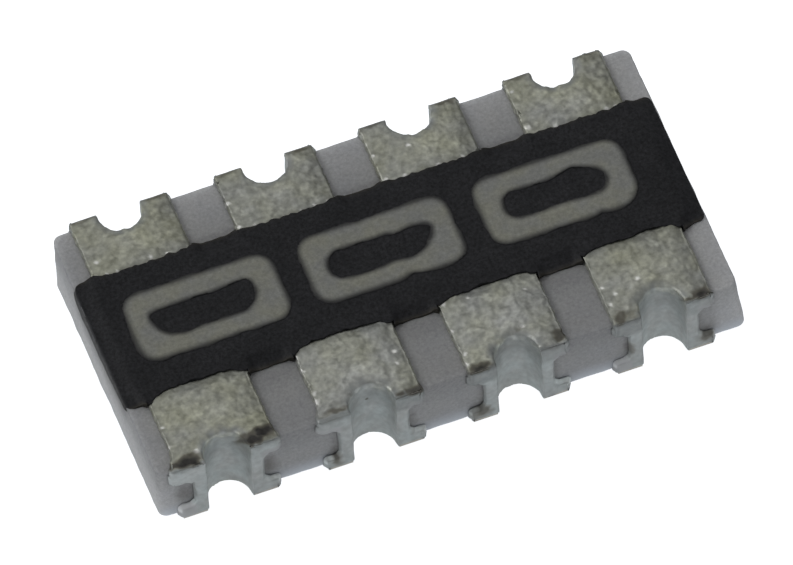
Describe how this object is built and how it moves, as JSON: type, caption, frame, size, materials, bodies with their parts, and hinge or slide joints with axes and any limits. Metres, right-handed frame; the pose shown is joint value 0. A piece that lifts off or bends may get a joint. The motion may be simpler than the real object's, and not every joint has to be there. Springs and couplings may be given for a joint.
{
  "type": "chip resistor network",
  "caption": "Flat ceramic chip with a black coated band between two rows of notched, tin-plated solder terminals.",
  "frame": {"origin": "middle of the part, on the plane of its eight solder lands", "axes": "+X along the length to the end that is at the right in the picture, +Y towards the back row of terminals, +Z out of the marked face"},
  "size_m": [0.0032, 0.0016, 0.0005],
  "materials": {
    "alumina": "fired alumina, matte, cool pale grey",
    "silver": "fired silver thick film, hidden under the plating",
    "nickel": "plated nickel, hidden under the tin",
    "tin": "matte plated tin, granular",
    "film": "fired thick film, hidden",
    "glaze": "glass glaze, hidden",
    "overcoat": "black epoxy overcoat, semi-matte",
    "mark_ink": "printed ink, pale khaki grey"
  },
  "bodies": {
    "root": {"ceramic_substrate": "alumina", "silver_electrode_1": "silver", "nickel_barrier_1": "nickel", "tin_terminal_1": "tin", "silver_electrode_2": "silver", "nickel_barrier_2": "nickel", "tin_terminal_2": "tin", "silver_electrode_3": "silver", "nickel_barrier_3": "nickel", "tin_terminal_3": "tin", "silver_electrode_4": "silver", "nickel_barrier_4": "nickel", "tin_terminal_4": "tin", "silver_electrode_5": "silver", "nickel_barrier_5": "nickel", "tin_terminal_5": "tin", "silver_electrode_6": "silver", "nickel_barrier_6": "nickel", "tin_terminal_6": "tin", "silver_electrode_7": "silver", "nickel_barrier_7": "nickel", "tin_terminal_7": "tin", "silver_electrode_8": "silver", "nickel_barrier_8": "nickel", "tin_terminal_8": "tin", "film_element_1": "film", "primary_glaze_1": "glaze", "film_element_2": "film", "primary_glaze_2": "glaze", "film_element_3": "film", "primary_glaze_3": "glaze", "film_element_4": "film", "primary_glaze_4": "glaze", "overcoat": "overcoat", "value_mark_1": "mark_ink", "value_mark_2": "mark_ink", "value_mark_3": "mark_ink"}
  },
  "joints": []
}
